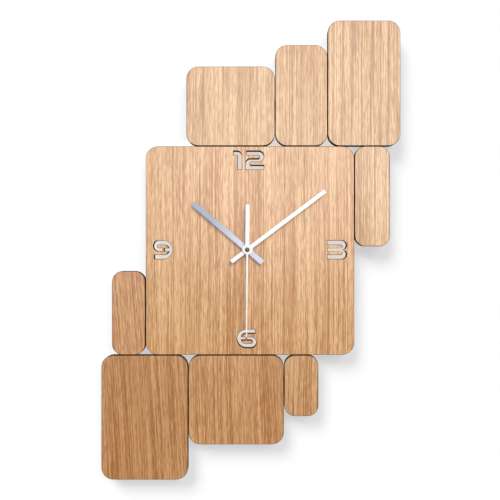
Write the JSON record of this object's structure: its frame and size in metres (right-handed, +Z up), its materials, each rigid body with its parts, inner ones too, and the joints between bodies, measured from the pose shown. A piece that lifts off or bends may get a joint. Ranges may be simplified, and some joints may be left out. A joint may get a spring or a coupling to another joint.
{
  "type": "wall clock",
  "caption": "Wall clock of stepped oak panels around a square dial with cut-through numerals and slim metal hands, driven by a battery quartz movement and hung on a keyhole plate.",
  "frame": {"origin": "Middle of the hanger plate's round keyhole entry, on the plate's back face.", "axes": "+Z is up the wall, -Y is the way the dial faces, +X is to the right as seen from the front."},
  "size_m": [0.3902, 0.0368, 0.5992],
  "materials": {
    "oak_panel": "oak veneer, satin, dark scorched edges",
    "rail_wood": "planed pine, bare",
    "screw_steel": "zinc plated",
    "bumper_rubber": "dark grey",
    "hanger_steel": "zinc plated",
    "case_plastic": "matt black",
    "brass": "bright",
    "rubber": "matt black",
    "battery_jacket": "plain printed jacket, bare steel ends",
    "contact_steel": "nickel plated",
    "board": "green solder resist",
    "chip_resin": "black resin blob",
    "crystal_can": "drawn can",
    "motor_iron": "annealed soft iron",
    "bobbin_plastic": "natural nylon",
    "copper_wire": "enamelled copper",
    "magnet": "sintered magnet",
    "arbor_steel": "ground",
    "wheel_plastic": "natural acetal",
    "knob_plastic": "natural acetal",
    "white_hand": "white lacquer",
    "grey_hand": "pale grey lacquer",
    "cap_plastic": "dark grey"
  },
  "bodies": {
    "clock": {"dial_panel": "oak_panel", "top_left_panel": "oak_panel", "top_middle_panel": "oak_panel", "top_right_panel": "oak_panel", "right_panel": "oak_panel", "left_panel": "oak_panel", "bottom_left_panel": "oak_panel", "bottom_middle_panel": "oak_panel", "bottom_right_panel": "oak_panel", "left_rail": "rail_wood", "right_rail": "rail_wood", "upper_cross_rail": "rail_wood", "lower_cross_rail": "rail_wood", "right_arm": "rail_wood", "left_arm": "rail_wood", "rail_screws": "screw_steel", "wall_pads": "bumper_rubber", "hanger_plate": "hanger_steel", "hanger_screws": "screw_steel", "movement_case": "case_plastic", "movement_cover": "case_plastic", "threaded_bushing": "brass", "rubber_washer": "rubber", "dial_washer": "brass", "hex_nut": "brass", "battery": "battery_jacket", "battery_contact_plus": "contact_steel", "battery_contact_minus": "contact_steel", "circuit_board": "board", "clock_chip": "chip_resin", "quartz_crystal": "crystal_can", "stator": "motor_iron", "coil_core": "motor_iron", "coil_bobbin": "bobbin_plastic", "coil_winding": "copper_wire", "train_bridge": "bobbin_plastic"},
    "second": {"seconds_wheel": "wheel_plastic", "seconds_arbor": "arbor_steel", "second_hand": "white_hand", "second_hand_pipe": "brass", "second_hand_cap": "cap_plastic"},
    "rotor": {"rotor_magnet": "magnet", "rotor_pinion": "wheel_plastic"},
    "intermediate": {"intermediate_wheel": "wheel_plastic"},
    "third": {"third_wheel": "wheel_plastic"},
    "minute": {"minute_wheel": "wheel_plastic", "minute_hand": "white_hand", "minute_hand_nut": "brass"},
    "motion": {"motion_wheel": "wheel_plastic"},
    "hour": {"hour_wheel": "wheel_plastic", "hour_hand": "grey_hand", "hour_hand_collet": "brass"},
    "setting": {"setting_knob": "knob_plastic"}
  },
  "joints": [
    {"name": "second_hand_turn", "type": "hinge", "parent": "clock", "child": "second", "pos_m": [-0.0035, -0.012, -0.1841], "axis": [0, 1, 0], "continuous": true},
    {"name": "rotor_turn", "type": "hinge", "parent": "clock", "child": "rotor", "pos_m": [0.00951, -0.012, -0.19506], "axis": [0, 1, 0], "continuous": true},
    {"name": "intermediate_turn", "type": "hinge", "parent": "clock", "child": "intermediate", "pos_m": [0.00496, -0.012, -0.18718], "axis": [0, 1, 0], "continuous": true},
    {"name": "third_turn", "type": "hinge", "parent": "clock", "child": "third", "pos_m": [-0.0143, -0.012, -0.1841], "axis": [0, 1, 0], "continuous": true},
    {"name": "minute_hand_turn", "type": "hinge", "parent": "clock", "child": "minute", "pos_m": [-0.0035, -0.012, -0.1841], "axis": [0, 1, 0], "continuous": true},
    {"name": "motion_turn", "type": "hinge", "parent": "clock", "child": "motion", "pos_m": [-0.0035, -0.012, -0.1757], "axis": [0, 1, 0], "continuous": true},
    {"name": "hour_hand_turn", "type": "hinge", "parent": "clock", "child": "hour", "pos_m": [-0.0035, -0.012, -0.1841], "axis": [0, 1, 0], "continuous": true},
    {"name": "setting_knob_turn", "type": "hinge", "parent": "clock", "child": "setting", "pos_m": [0.00581, -0.012, -0.17406], "axis": [0, 1, 0], "continuous": true}
  ],
  "couplings": [
    {"joint": "intermediate_turn", "follows": "second_hand_turn", "ratio": -5},
    {"joint": "rotor_turn", "follows": "second_hand_turn", "ratio": 30},
    {"joint": "third_turn", "follows": "second_hand_turn", "ratio": -0.125},
    {"joint": "minute_hand_turn", "follows": "second_hand_turn", "ratio": 0.016667},
    {"joint": "motion_turn", "follows": "second_hand_turn", "ratio": -0.0055556},
    {"joint": "hour_hand_turn", "follows": "second_hand_turn", "ratio": 0.0013889},
    {"joint": "setting_knob_turn", "follows": "second_hand_turn", "ratio": 0.011111}
  ]
}
